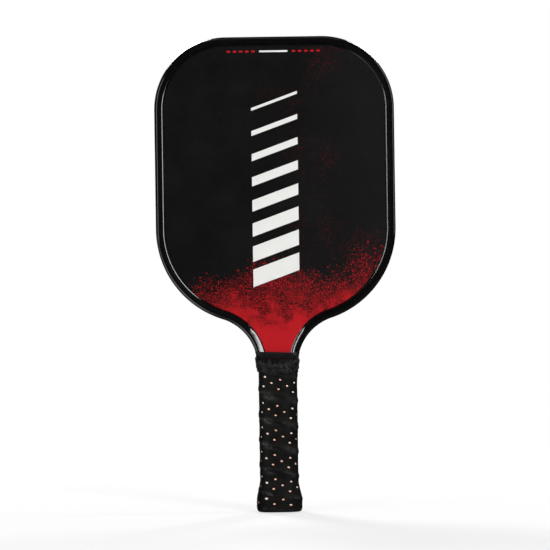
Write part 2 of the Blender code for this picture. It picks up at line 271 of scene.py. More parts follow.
def makeDrops(tree, place, size, density):
    # round drops of one size, one to a cell, present as often as density says
    values = {"Vector": place, "Scale": 1 / size, "Randomness": 0.75}
    cells = addNode(tree, "TexVoronoi", values, voronoi_dimensions="2D").outputs
    chance = addNode(tree, "SeparateColor", {"Color": cells["Color"]}).outputs
    radius = timesPlus(tree, chance["Green"], 0.26, 0.14)
    inside = fall(tree, minus(tree, cells["Distance"], radius), -0.08, 0.02)
    return times(tree, inside, calc(tree, "LESS_THAN", chance["Red"], density))


def makeCoat(tree, flat, x):
    # clouded black, with painted light that makes it a little paler towards one side
    haze = cloud(tree, flat, face["hazeScale"], 6.0, 0.62)
    coat = mixColour(tree, step(tree, haze, 0.38, 0.70), face["black"], face["cloudedBlack"])
    return mixColour(tree, step(tree, x, *face["paintedLightSide"], 0.0, 0.55), coat, face["paintedLitBlack"])


def makeSpray(tree, flat, onFace, x, z):
    # spray that rises from the throat and breaks up into drops: its mask, and the depth below its edge
    edge = timesPlus(tree, x, face["spraySlope"], face["sprayZ"])
    wave = minus(tree, cloud(tree, flat, face["waveScale"], 4.0, 0.6), 0.5)
    edge = timesPlus(tree, wave, face["waveHeight"], edge)
    depth = calc(tree, "DIVIDE", minus(tree, edge, z), face["sprayDepth"])
    puff = minus(tree, cloud(tree, flat, face["puffScale"], 4.0, 0.65), 0.5)
    depth = timesPlus(tree, puff, face["puffDepth"], depth)
    density = step(tree, depth, -1.15, 0.75)
    spray = step(tree, depth, 0.25, 0.80)
    for size in face["dropSizes"]:
        spray = calc(tree, "MAXIMUM", spray, makeDrops(tree, onFace, size, density))
    return spray, depth


def makeDust(tree, flat, onFace, x):
    # faint fine drops that drift up one side
    drift = step(tree, cloud(tree, flat, face["driftScale"], 3.0, 0.55), 0.46, 0.80)
    drift = times(tree, drift, step(tree, x, *face["driftSide"]))
    dust = makeDrops(tree, onFace, face["dropSizes"][0], times(tree, drift, 0.5))
    return times(tree, dust, face["dustShare"])


def makeBars(tree, x, z):
    # a column of slanted bars that thin out upwards
    soft, columnSoft = face["barSoft"], face["columnSoft"]
    low, high, pitch = face["barLow"], face["barHigh"], face["barPitch"]
    halfWidth = face["barHalfWidth"]
    lean = timesPlus(tree, x, -face["barLean"], z)
    along = minus(tree, lean, low)
    pitches = calc(tree, "DIVIDE", along, pitch)
    phase = times(tree, calc(tree, "FRACT", pitches), pitch)
    rank = calc(tree, "FLOOR", pitches)
    thinning = (face["barThin"] - face["barThick"]) / ((high - low) / pitch - 1)
    barTop = timesPlus(tree, rank, thinning, face["barThick"])
    belowTop = fall(tree, minus(tree, phase, barTop), -soft, soft)
    inBar = times(tree, step(tree, phase, 0.0, 2 * soft), belowTop)
    belowEnd = fall(tree, lean, high - 2 * columnSoft, high)
    inColumn = times(tree, step(tree, along, -columnSoft, columnSoft), belowEnd)
    inWidth = fall(tree, calc(tree, "ABSOLUTE", x), halfWidth - soft, halfWidth + soft)
    return times(tree, inBar, times(tree, inColumn, inWidth))


def makeDashes(tree, x, z):
    # masks of a row of short dashes under the top edge, and of one longer dash in its middle
    away = calc(tree, "ABSOLUTE", x)
    rise = calc(tree, "ABSOLUTE", minus(tree, z, face["dashZ"]))
    inRow = fall(tree, rise, *face["dashSide"])
    phase = calc(tree, "FRACT", calc(tree, "DIVIDE", away, face["dashPitch"]))
    inDash = between(tree, phase, face["dashStart"], face["dashEnd"])
    inReach = between(tree, away, face["rowStart"], face["rowEnd"])
    shortDashes = times(tree, inRow, times(tree, inDash, inReach))
    return shortDashes, times(tree, inRow, fall(tree, away, *face["paleEnd"]))


def makeFacePrint():
    tree, inputs, outputs = newGroup("face print", {"Side": 1.0}, ["Color", "Roughness", "Height"])
    split = addNode(tree, "SeparateXYZ", {"Vector": inputs["Vector"]}).outputs
    x = times(tree, split["X"], inputs["Side"])
    z = split["Z"]
    flat = addNode(tree, "CombineXYZ", {"X": x, "Y": inputs["Side"], "Z": z}).outputs[0]
    onFace = addNode(tree, "CombineXYZ", {"X": x, "Y": z}).outputs[0]

    # inks, one over the other
    spray, depth = makeSpray(tree, flat, onFace, x, z)
    sprayRed = mixColour(tree, step(tree, depth, -0.3, 1.2), face["deepRed"], face["red"])
    dust = makeDust(tree, flat, onFace, x)
    bars = makeBars(tree, x, z)
    shortDashes, paleDash = makeDashes(tree, x, z)
    colour = makeCoat(tree, flat, x)
    for share, inkColour in (
        (spray, sprayRed),
        (dust, face["deepRed"]),
        (bars, face["pale"]),
        (shortDashes, face["red"]),
        (paleDash, face["pale"]),
    ):
        colour = mixColour(tree, share, colour, inkColour)

    # gritty coat: ink lies a little smoother
    grit = useGroup(tree, fineGrain, Vector=flat, Size=face["gritSize"], Unevenness=0.8)
    ink = calc(tree, "MAXIMUM", bars, times(tree, spray, 0.5))
    uneven = minus(tree, grit["Shade"], 0.5)
    rough = timesPlus(tree, uneven, face["roughSpread"], face["roughness"])
    rough = timesPlus(tree, ink, -face["inkSmoother"], rough)
    height = timesPlus(tree, ink, face["inkHeight"], grit["Height"])
    feed(tree, outputs, Color=colour, Roughness=rough, Height=height)
    return tree


printGroup = makeFacePrint()


def makeFaceMaterial(name, side):
    material, tree, shader, place = newMaterial(name, Specular_IOR_Level=face["specular"])
    ink = useGroup(tree, printGroup, Vector=place, Side=side)
    feed(tree, shader.inputs, Base_Color=ink["Color"], Roughness=ink["Roughness"])
    feedBump(tree, shader, ink["Height"], face["gritDepth"], face["gritStrength"])
    return material


frontPrint = makeFaceMaterial("front print", 1.0)
rearPrint = makeFaceMaterial("rear print", -1.0)


# plain moulded finishes


def makeMoulded(name, finish):
    material, tree, shader, place = newMaterial(name, Specular_IOR_Level=finish["specular"])
    grain = useGroup(tree, fineGrain, Vector=place, Size=finish["grain"], Unevenness=0.9)
    tone = mixColour(tree, step(tree, grain["Shade"], 0.3, 0.75), finish["colour"], finish["paler"])
    uneven = minus(tree, grain["Shade"], 0.5)
    rough = timesPlus(tree, uneven, finish["spread"], finish["roughness"])
    if "wornAndSheen" in finish:
        # the worn tone is real wear, and on the grip tape it is also a painted sheen
        wearAndSheen = addNode(tree, "Attribute", attribute_name="wearAndSheen").outputs["Fac"]
        rubbedAndSheen = useGroup(
            tree, scuffsAndSheen, Vector=place, Wear=wearAndSheen,
            Size=finish["wornSize"], Base=finish["wornBase"], Softness=finish.get("sheenSoftness", 0.0),
        )["Mask"]
        tone = mixColour(tree, rubbedAndSheen, tone, finish["wornAndSheen"])
        rough = timesPlus(tree, rubbedAndSheen, finish["wornRough"], rough)
    if "cornerHighlightColour" in finish:
        # painted highlight: a paler colour where the attribute marks the lit corners
        paintedCornerHighlight = addNode(tree, "Attribute", attribute_name="paintedCornerHighlight").outputs["Fac"]
        tone = mixColour(tree, paintedCornerHighlight, tone, finish["cornerHighlightColour"])
    feed(tree, shader.inputs, Base_Color=tone, Roughness=rough)
    feedBump(tree, shader, grain["Height"], finish["grainDepth"])
    return material


guardBlack = makeMoulded("guard black", {
    "colour": grey(0.0012), "paler": grey(0.0017), "roughness": 0.12, "spread": 0.02, "specular": 0.60,
    "grain": 0.006, "grainDepth": 0.000001,
    "wornAndSheen": grey(0.004), "wornSize": 0.014, "wornBase": 0.0, "wornRough": 0.02,
})
capBlack = makeMoulded("cap black", {
    "colour": grey(0.0030), "paler": grey(0.0052), "roughness": 0.50, "spread": 0.22, "specular": 0.20,
    "grain": 0.0006, "grainDepth": 0.00004,
    "wornAndSheen": grey(0.03), "wornSize": 0.004, "wornBase": 0.05, "wornRough": 0.1,
})
tapeBlack = makeMoulded("tape black", {
    "colour": grey(0.0018, 0.08), "paler": grey(0.0044, 0.08), "roughness": 0.50, "spread": 0.25,
    "specular": 0.066, "grain": 0.0007, "grainDepth": 0.00008,
    # painted sheen: this pale tone, made soft, stands in for light on the laps and front corners, as well
    # as for scuffs
    "wornAndSheen": grey(0.052, 0.04), "wornSize": 0.0060, "wornBase": 0.04, "sheenSoftness": 1.0, "wornRough": 0.1,
})
finishBlack = makeMoulded("finish black", {
    "colour": grey(0.0018), "paler": grey(0.0036), "roughness": 0.38, "spread": 0.20, "specular": 0.15,
    "grain": 0.0006, "grainDepth": 0.00003,
    "wornAndSheen": grey(0.036), "wornSize": 0.003, "wornBase": 0.08, "wornRough": 0.1,
})
cushionOrange = makeMoulded("cushion orange", {
    # painted highlight: the palest colour shows on the handle's corners, as if lit from the sides
    "colour": (1.0, 0.52, 0.36, 1.0), "paler": (1.0, 0.63, 0.47, 1.0), "cornerHighlightColour": (1.0, 0.88, 0.80, 1.0),
    "roughness": 0.75, "spread": 0.2, "specular": 0.2, "grain": 0.0005, "grainDepth": 0.00006,
})
hidden = {"spread": 0.2, "specular": 0.4, "grain": 0.0008, "grainDepth": 0.00002}
corePolymer = makeMoulded("core polymer", {
    **hidden, "colour": grey(0.66, 0.02), "paler": grey(0.76, 0.02), "roughness": 0.55,
})
framePolymer = makeMoulded("frame polymer", {
    **hidden, "colour": grey(0.04), "paler": grey(0.055), "roughness": 0.5,
})
shellGrey = makeMoulded("shell grey", {
    **hidden, "colour": grey(0.085), "paler": grey(0.115), "roughness": 0.55, "grainDepth": 0.00003,
})

keptNodes = {
    "front_face": frontPrint,
    "rear_face": rearPrint,
    "honeycomb_core": corePolymer,
    "core_frame": framePolymer,
    "front_handle_shell": shellGrey,
    "rear_handle_shell": shellGrey,
}
for nodeName, finish in keptNodes.items():
    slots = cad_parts[nodeName].material_slots
    for index in range(len(slots)):
        slots[index].material = finish
print("materials:", len(bpy.data.materials))


# shared helpers for meshes


def makeMesh(name, bm):
    mesh = bpy.data.meshes.new(name)
    bm.to_mesh(mesh)
    bm.free()
    return mesh


def addObject(name, data):
    made = bpy.data.objects.new(name, data)
    bpy.context.scene.collection.objects.link(made)
    return made


def addPiece(name, bm, material, node, sharpAngle):
    bmesh.ops.recalc_face_normals(bm, faces=bm.faces)
    mesh = makeMesh(name, bm)
    mesh.shade_smooth()
    mesh.set_sharp_from_angle(angle=math.radians(sharpAngle))
    mesh.materials.append(material)
    piece = addObject(name, mesh)
    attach(piece, "root")
    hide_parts(node)
    print(f"{name}: {len(mesh.vertices)} points, {len(mesh.polygons)} faces")
    return piece


def bridge(bm, low, high):
    # faces between two closed rings
    for i in range(len(low)):
        j = (i + 1) % len(low)
        bm.faces.new((low[i], low[j], high[j], high[i]))


def loft(rings, wearAndSheen):
    # closed skin over rings of equally many points
    bm = bmesh.new()
    layer = bm.verts.layers.float.new("wearAndSheen")
    rows = []
    for ring, ringWear in zip(rings, wearAndSheen):
        row = [bm.verts.new(point) for point in ring]
        for vert, wornAndSheen in zip(row, ringWear):
            vert[layer] = wornAndSheen
        rows.append(row)
    for low, high in zip(rows, rows[1:]):
        bridge(bm, low, high)
    bm.faces.new(rows[0])
    bm.faces.new(rows[-1])
    return bm


def trim(bm, lowZ, highZ):
    # cuts off what lies under lowZ and over highZ
    for z, outward in ((lowZ, -1), (highZ, 1)):
        everything = bm.verts[:] + bm.edges[:] + bm.faces[:]
        bmesh.ops.bisect_plane(
            bm, geom=everything, plane_co=(0, 0, z), plane_no=(0, 0, outward), clear_outer=True
        )


def thicken(piece, thickness):
    # inwards from the modelled outer face
    shell = piece.modifiers.new("thickness", "SOLIDIFY")
    shell.thickness = thickness
    shell.offset = -1


def roundSection(angle, offset, halfA, halfB, squareness):
    # a point of a rounded square, moved out along its normal
    c, s = math.cos(angle), math.sin(angle)
    radius = (abs(c / halfA) ** squareness + abs(s / halfB) ** squareness) ** (-1 / squareness)
    x, y = radius * c, radius * s
    normalX = math.copysign(abs(x / halfA) ** (squareness - 1) / halfA, x)
    normalY = math.copysign(abs(y / halfB) ** (squareness - 1) / halfB, y)
    length = math.hypot(normalX, normalY)
    return x + offset * normalX / length, y + offset * normalY / length


def handleSection(angle, offset):
    return roundSection(angle, offset, paddle["handleA"], paddle["handleB"], paddle["squareness"])


def flareAt(z):
    return paddle["flare"] * (1 - smooth(z, paddle["flareStart"], paddle["capHeight"]))


def handlePoint(z, angle, offset):
    return handleSection(angle, flareAt(z) + offset)


# edge guard

guard = {
    "spacing": 0.002,
    "half": 0.0090,
    "inner": 0.0077,
    "flat": 0.009,
    "bead": 0.0022,
    "beadTurn": 78,  # degrees of its ellipse, up to the crease where the floor starts
    "ridge": 0.0024,
    "reach": 0.008,
    "valley": 0.00006,
    "wall": 0.0018,
    "throatZ": (0.1485, 0.1545),  # under these heights the ridge opens into a broad slope
    "steepFrom": (0.145, 0.1485),  # above the throat the ridge falls steeply
    "steepTo": (0.168, 0.178),
    "steepShare": 0.6344,  # share of the ridge that stays level there
    "footFrom": 0.92,  # share of the broad slope from which it drops to the inner edge
    # the broad slope's steepness in degrees, at shares of its way from crest to foot
    "leftThroat": {
        "reach": 0.0080,
        "ridge": 0.0048,
        "shares": (0.0, 0.70, 0.85, 1.0),
        "slopes": (9.7, 12.0, 20.0, 46.0),
    },
    "rightThroat": {
        "reach": 0.0073,
        "ridge": 0.0040,
        "shares": (0.0, 0.40, 0.60, 1.0),
        "slopes": (10.0, 15.0, 20.5, 27.5),
    },
    "slopeSamples": 60,
    "points": {"side": 4, "bead": 16, "floor": 14, "ridge": 16},
    "wearAndSheen": {"side": 0.5, "bead": 1.0, "floor": 0.25, "ridge": 0.6},
    "sharpAngle": 15,
}


def headPath(spacing):
    # right half of the outline, from the guard's end to the middle of the top, with outward normals
    half = paddle["headWidth"] / 2
    shoulderX = half - paddle["shoulderRadius"]
    reach = paddle["shoulderRadius"] + paddle["neckRadius"]
    shoulderZ = paddle["neckZ"] + math.sqrt(reach**2 - (neckX - shoulderX) ** 2)
    lean = math.atan2(paddle["neckZ"] - shoulderZ, neckX - shoulderX)
    start = math.pi - math.asin((paddle["guardZ"] - paddle["neckZ"]) / paddle["neckRadius"])
    cornerX = half - paddle["cornerRadius"]
    cornerZ = paddle["length"] - paddle["cornerRadius"]
    path = []

    def addArc(centreX, centreZ, radius, first, last, side):
        steps = max(2, round(abs(last - first) * radius / spacing))
        for i in range(steps):
            angle = mix(first, last, i / steps)
            c, s = math.cos(angle), math.sin(angle)
            path.append((centreX + radius * c, centreZ + radius * s, side * c, side * s))

    def addStraight(startX, startZ, endX, endZ, normalX, normalZ):
        steps = max(2, round(math.hypot(endX - startX, endZ - startZ) / spacing))
        for i in range(steps):
            path.append((mix(startX, endX, i / steps), mix(startZ, endZ, i / steps), normalX, normalZ))

    addArc(neckX, paddle["neckZ"], paddle["neckRadius"], start, lean + math.pi, -1)
    addArc(shoulderX, shoulderZ, paddle["shoulderRadius"], lean, 0.0, 1)
    addStraight(half, shoulderZ, half, cornerZ, 1.0, 0.0)
    addArc(cornerX, cornerZ, paddle["cornerRadius"], 0.0, math.pi / 2, 1)
    addStraight(cornerX, paddle["length"], 0.0, paddle["length"], 0.0, 1.0)
    path.append((0.0, paddle["length"], 0.0, 1.0))
    return path


def throatDrop(throat, share):
    # how far the slope has fallen at this share of the ridge, over the ridge's width
    shares = np.linspace(0.0, share, guard["slopeSamples"])
    slopes = np.interp(shares, throat["shares"], throat["slopes"])
    return share * float(np.mean(np.tan(np.radians(slopes))))


def guardProfile(x, z):
    # (inward from the outer edge, across the thickness, wear), round the outside and back inside
    throat = guard["rightThroat" if x > 0 else "leftThroat"]
    points, wearAndSheen = guard["points"], guard["wearAndSheen"]
    opened = 1 - smooth(z, *guard["throatZ"])
    ridge = mix(guard["ridge"], throat["ridge"], opened)
    reach = mix(guard["reach"], throat["reach"], opened)
    flat = guard["flat"] / 2
    half = [(0.0, flat * i / points["side"], wearAndSheen["side"]) for i in range(points["side"])]
    beadTurn = math.radians(guard["beadTurn"])
    beadWide = guard["bead"] / (1 - math.cos(beadTurn))
    beadHigh = (guard["half"] - flat) / math.sin(beadTurn)
    for i in range(points["bead"]):
        turn = beadTurn * i / points["bead"]
        half.append((beadWide * (1 - math.cos(turn)), flat + beadHigh * math.sin(turn), wearAndSheen["bead"]))
    crest = reach - ridge
    for i in range(points["floor"]):
        share = i / points["floor"]
        dish = guard["valley"] * (1 - opened) * (4 * share * (1 - share)) ** 2
        half.append((mix(guard["bead"], crest, share), guard["half"] - dish, wearAndSheen["floor"]))
    drop = guard["half"] - guard["inner"]
    foot = max(0.0, drop - ridge * throatDrop(throat, 1.0))
    steep = smooth(z, *guard["steepFrom"]) * (1 - smooth(z, *guard["steepTo"]))
    for i in range(points["ridge"] + 1):
        turn = math.pi / 2 * i / points["ridge"]
        share = math.sin(turn)
        wall = max(0.0, (share - guard["steepShare"]) / (1 - guard["steepShare"]))
        rounded = drop * mix(1 - math.cos(turn), wall, steep)
        slope = ridge * throatDrop(throat, share) + foot * smooth(share, guard["footFrom"], 1.0)
        across = guard["half"] - mix(rounded, min(drop, slope), opened)
        half.append((crest + ridge * share, across, wearAndSheen["ridge"]))
    channel = [(guard["wall"], guard["inner"], 0.0), (guard["wall"], -guard["inner"], 0.0)]
    return half + channel + [(inward, -across, wornAndSheen) for inward, across, wornAndSheen in reversed(half[1:])]


def makeEdgeGuard():
    right = headPath(guard["spacing"])
    path = right + [(-x, z, -nx, nz) for x, z, nx, nz in reversed(right[:-1])]
    rings, wearAndSheen = [], []
    for x, z, nx, nz in path:
        profile = guardProfile(x, z)
        rings.append([(x - nx * inward, across, z - nz * inward) for inward, across, _ in profile])
        wearAndSheen.append([wornAndSheen for _, _, wornAndSheen in profile])
    addPiece("edgeGuard", loft(rings, wearAndSheen), guardBlack, "edge_guard", guard["sharpAngle"])


makeEdgeGuard()


# butt cap

cap = {
    "around": 112,
    "lip": 0.0054,  # beyond the hard handle
    "lipHeight": 0.0026,
    "lipRound": 0.0024,
    "lipSteps": 8,
    "lipWorn": 0.002,  # width of its rubbed edge
    "ledgeRise": 0.0001,
    "ledgeIn": 0.0003,
    "flareSteps": 18,
    "skirt": 0.0012,
    "floor": 0.004,
    "recess": 0.00035,  # how far the end's middle is sunk
    "recessIn": (0.0105, 0.0083),  # measured in from the lip
    "endIn": 0.0079,
    "endFlat": 0.0006,  # between the flat end and the lip's rounding
    "wearAndSheen": {"lip": 1.0, "rest": 0.2},
    "sharpAngle": 40,
}


def makeButtCap():
    lip, rounding = cap["lip"], cap["lipRound"]
    sections = [(cap["recess"], lip - inward) for inward in cap["recessIn"]]
    sections += [(0.0, lip - cap["endIn"]), (0.0, lip - rounding - cap["endFlat"])]
    for i in range(cap["lipSteps"] + 1):
        turn = math.pi / 2 * (1 - i / cap["lipSteps"])
        sections.append((rounding * (1 - math.sin(turn)), lip - rounding * (1 - math.cos(turn))))
    ledgeZ = cap["lipHeight"] + cap["ledgeRise"]
    sections += [(cap["lipHeight"], lip), (ledgeZ, lip - cap["ledgeIn"])]
    for i in range(cap["flareSteps"] + 1):
        z = mix(ledgeZ, paddle["capHeight"], i / cap["flareSteps"])
        sections.append((z, flareAt(z)))
    sections += [(paddle["capHeight"], -cap["skirt"]), (cap["floor"], -cap["skirt"])]
    angles = [math.tau * i / cap["around"] for i in range(cap["around"])]
    rings, wearAndSheen = [], []
    for z, offset in sections:
        wornAndSheen = cap["wearAndSheen"]["lip" if offset > lip - cap["lipWorn"] else "rest"]
        rings.append([(*handleSection(angle, offset), z) for angle in angles])
        wearAndSheen.append([wornAndSheen] * cap["around"])
    addPiece("buttCap", loft(rings, wearAndSheen), capBlack, "butt_cap", cap["sharpAngle"])


makeButtCap()


# wound grip: a perforated skin over an orange cushion

grip = {
    "lowZ": 0.0029,  # both trimmed edges
    "highZ": 0.1234,
    "startZ": 0.0005,
    "pitch": 0.021,
    "startClimb": 0.33,  # share of the full climb at the butt
    "settle": 1.35,  # turns in which the winding reaches its full climb
    "firstTurn": -0.55,
    "lastTurn": 6.35,
    "topGain": 0.0015,  # the last turns are drawn a little wider apart
    "topTurns": (4.1, 5.0),
    "girthZ": 0.06,  # where the girth is taken
    "outside": 0.0026,  # outer face above the hard handle
    "thickness": 0.0003,
    "sharpAngle": 60,
    # the lap over the turn below, flatter round the butt
    "lap": 0.0025,
    "lapFall": 0.003,
    "lift": 0.00055,
    "liftAfter": (0.9, 1.1),  # turns from the tape's start
    "buttFlat": 0.65,
    "buttTurn": 1.0,
    "buttTurns": 0.42,
    "edgeDip": 0.00036,
    "edgeWidth": 0.0009,
    # waves, creases and a groove above the lap: sizes along the tape and across it
    "waveHeight": 0.00013,
    "waveSize": (0.009, 0.005),
    "creaseHeight": 0.00032,
    "creaseSize": (0.011, 0.0022),
    "creaseLean": (0.9, 0.25),
    "creaseFrom": 0.06,
    "creaseMiddle": 0.0105,  # none along this line
    "creaseClear": (0.001, 0.006),
    "grooveDepth": 0.00020,
    "grooveAt": 0.0034,
    "grooveWidth": 0.0007,
    "grooveSway": 0.0012,
    "grooveLength": 0.012,
    # holes
    "rows": (0.0064, 0.01055, 0.0147),
    "rowPitch": 0.00415,
    "cellsPerTurn": 16,
    "frontTurn": 3,  # the holes are set by this turn's front
    "frontShift": 0.0030,
    "shift": 0.00145,  # how far the holes creep round each turn
    "lean": 0.19,  # the columns of holes stand square to the tape
    "lowCreep": 0.0039,  # stretch round the flare, and at the top
    "lowCreepTurns": (-0.2, 2.2),
    "topCreep": 0.0012,
    "topCreepTurns": (4.0, 5.0),
    "holeAlong": 0.00104,
    "holeAcross": 0.00069,
    "holeSteps": ((0.55, 0.00002), (0.16, 0.00008), (0.0, 0.00016)),  # share of the way to the rim, dip
    "holeClear": 0.4,  # laps that a hole keeps from the next turn
    "cornerGain": 0.18,  # holes are drawn wider on the corners
    "cornerTurns": 0.045,
    # mesh
    "cellColumns": 6,
    "cellRows": 4,
    "edgeHeights": (0.0, 0.0004, 0.001, 0.0017, 0.0025, 0.0034),
    "topRows": 7,
    "topSlack": 0.0004,
    # wear and painted sheen: strength, place and width in turns of the two front corners, where the painted
    # sheen is strongest, and the lap's own
    "sheenCorners": ((1.9, 0.095, 0.045), (1.1, 0.89, 0.05)),
    "wornLap": 0.12,
    "wornLow": (0.0004, 0.0045),
    "wornHigh": (0.0172, 0.0200),
    "highShare": 0.55,
    "wornLeast": 0.03,
    # cushion
    "cushionTop": 0.0020,
    "cushionBottom": 0.0003,
    "cushionGap": 0.0006,  # between its turns
    "cushionTrim": 0.0003,  # inside the tape's trimmed edges
    "cushionSteps": 112,
    "cushionRows": 14,
    "crown": 0.00012,
    "crownPart": 2.2,  # the cushion's width over the crown's
}


def makeRoundTable(steps=1440):
    # angles from the middle of the front, towards the left, and the share of the girth passed there
    angles = np.array([-math.pi / 2 - math.tau * i / steps for i in range(steps + 1)])
    points = np.array([handlePoint(grip["girthZ"], a, grip["outside"]) for a in angles])
    lengths = np.concatenate(([0.0], np.cumsum(np.hypot(*np.diff(points, axis=0).T))))
    return angles, lengths / lengths[-1], float(lengths[-1])


roundAngles, roundShares, girth = makeRoundTable()


def gripAngle(turns):
    return float(np.interp(turns % 1.0, roundShares, roundAngles))


def bandZ(turns):
    first, settle = grip["startClimb"], grip["settle"]
    if turns < 0:
        climbed = first * turns
    elif turns < settle:
        climbed = first * turns + (1 - first) * turns * turns / (2 * settle)
    else:
        climbed = turns - (1 - first) * settle / 2
    return grip["startZ"] + grip["pitch"] * climbed + grip["topGain"] * smooth(turns, *grip["topTurns"])


def cornerShare(turns):
    # 1 on the handle's four corners, falling to 0 on its flats
    quarter = 0.25
    return bump(turns % quarter, quarter / 2, grip["cornerTurns"])


def gripOffset(turns, across):
    # the skin's outer face: laid over the turn below at its lower edge, with creases and soft waves
    under = smooth(turns - grip["firstTurn"], *grip["liftAfter"])
    under *= 1 - grip["buttFlat"] * bump(turns, grip["buttTurn"], grip["buttTurns"])
    onLap = 1 - smooth(across, grip["lap"], grip["lap"] + grip["lapFall"])
    offset = grip["outside"] + grip["lift"] * under * onLap
    offset -= grip["edgeDip"] * (1 - smooth(across, 0.0, grip["edgeWidth"]))

    along = turns * girth
    waveAlong, waveAcross = grip["waveSize"]
    offset += grip["waveHeight"] * ripple(along / waveAlong, across / waveAcross, 0.0, 1)
    creaseAlong, creaseAcross = grip["creaseSize"]
    leanAlong, leanAcross = grip["creaseLean"]
    drawnAlong, drawnAcross = along - across * leanAlong, across + along * leanAcross
    crease = ripple(drawnAlong / creaseAlong, drawnAcross / creaseAcross, 0.0, 2)
    aside = smooth(abs(across - grip["creaseMiddle"]), *grip["creaseClear"])
    offset += grip["creaseHeight"] * max(0.0, crease - grip["creaseFrom"]) * aside
    groove = grip["grooveAt"] + grip["grooveSway"] * ripple(along / grip["grooveLength"], 0.0, 0.0, 3)
    return offset - grip["grooveDepth"] * bump(across, groove, grip["grooveWidth"])


def gripPoint(turns, across, offset):
    creep = grip["lowCreep"] * (1 - smooth(turns, *grip["lowCreepTurns"]))
    creep += grip["topCreep"] * smooth(turns, *grip["topCreepTurns"])
    turns = turns - (grip["lean"] * (across - grip["rows"][1]) + creep) / girth
    z = bandZ(turns) + across
    return (*handlePoint(z, gripAngle(turns), offset), z)


def gripWear(turns, across):
    # scuffed on both sides of the lap and given a painted sheen there, most of all where it crosses the two
    # front corners
    corners = sum(strength * bump(turns % 1.0, at, width) for strength, at, width in grip["sheenCorners"])
    above = grip["highShare"] * smooth(across, *grip["wornHigh"])
    nearLap = max(1 - smooth(across, *grip["wornLow"]), above)
    return grip["wornLeast"] + (grip["wornLap"] + corners) * nearLap


def makeGripTape():
    perCell, perRow, bands = grip["cellColumns"], grip["cellRows"], len(grip["rows"])
    cellTurns = (1 - grip["shift"] / girth) / grip["cellsPerTurn"]
    frontCells = grip["frontTurn"] * grip["cellsPerTurn"]
    phase = grip["frontTurn"] + grip["frontShift"] / girth - frontCells * cellTurns
    firstCell = math.floor((grip["firstTurn"] - phase) / cellTurns)
    lastCell = math.ceil((grip["lastTurn"] - phase) / cellTurns)

    # lines along the tape: its lower edge, the bands of holes, its upper edge
    heights = list(grip["edgeHeights"])
    lowRows = len(heights)
    base = grip["rows"][0] - grip["rowPitch"] / 2
    heights += [base + grip["rowPitch"] * i / perRow for i in range(bands * perRow + 1)]
    bandTop, end = base + bands * grip["rowPitch"], grip["pitch"] + grip["lap"]
    heights += [mix(bandTop, end, i / grip["topRows"]) for i in range(1, grip["topRows"] + 1)]
    bm = bmesh.new()
    wearAndSheen = bm.verts.layers.float.new("wearAndSheen")
    made = {}

    def turnsAt(column):
        return phase + (column / perCell - 0.5) * cellTurns

    def addPoint(turns, across, dip=0.0):
        vert = bm.verts.new(gripPoint(turns, across, gripOffset(turns, across) - dip))
        # painted sheen together with scuffs
        vert[wearAndSheen] = gripWear(turns, across)
        return vert

    def corner(column, row):
        key = (column, row)
        if key not in made:
            made[key] = addPoint(turnsAt(column), heights[row])
        return made[key]

    def limit(column):
        # how far up the tape reaches, under the next turn
        turns = turnsAt(column)
        return bandZ(turns + 1) - bandZ(turns) + grip["lap"]

    def plain(columns, rows):
        for row in rows:
            for column in columns:
                if heights[row + 1] > limit(column) + grip["topSlack"]:
                    continue
                keys = ((column, row), (column + 1, row), (column + 1, row + 1), (column, row + 1))
                bm.faces.new([corner(*key) for key in keys])

    def pierced(cell, band):
        # rings from the cell's rim in to the hole, which dips a little
        column, row = cell * perCell, lowRows + band * perRow
        rim = [(column + i, row) for i in range(perCell)]
        rim += [(column + perCell, row + i) for i in range(perRow)]
        rim += [(column + perCell - i, row + perRow) for i in range(perCell)]
        rim += [(column, row + perRow - i) for i in range(perRow)]
        outer = [corner(*key) for key in rim]
        middle = phase + cell * cellTurns
        across = grip["rows"][band]
        gain = 1 + grip["cornerGain"] * cornerShare(middle)
        holeAlong, holeAcross = grip["holeAlong"] * gain, grip["holeAcross"] * gain
        for share, dip in grip["holeSteps"]:
            inner = []
            for rimColumn, rimRow in rim:
                dx, dy = (turnsAt(rimColumn) - middle) * girth, heights[rimRow] - across
                angle = math.atan2(dy / holeAcross, dx / holeAlong)
                atX = mix(holeAlong * math.cos(angle), dx, share)
                atY = mix(holeAcross * math.sin(angle), dy, share)
                inner.append(addPoint(middle + atX / girth, across + atY, dip))
            bridge(bm, outer, inner)
            outer = inner

    for cell in range(firstCell, lastCell + 1):
        columns = range(cell * perCell, cell * perCell + perCell)
        plain(columns, range(lowRows))
        for band in range(bands):
            rows = range(lowRows + band * perRow, lowRows + (band + 1) * perRow)
            holed = (cell + band) % 2 == 0
            clear = heights[rows.stop] < limit(cell * perCell) - grip["lap"] * grip["holeClear"]
            if holed and clear:
                pierced(cell, band)
            else:
                plain(columns, rows)
        plain(columns, range(lowRows + bands * perRow, len(heights) - 1))
    trim(bm, grip["lowZ"], grip["highZ"])
    piece = addPiece("gripTape", bm, tapeBlack, "grip_tape", grip["sharpAngle"])
    thicken(piece, grip["thickness"])


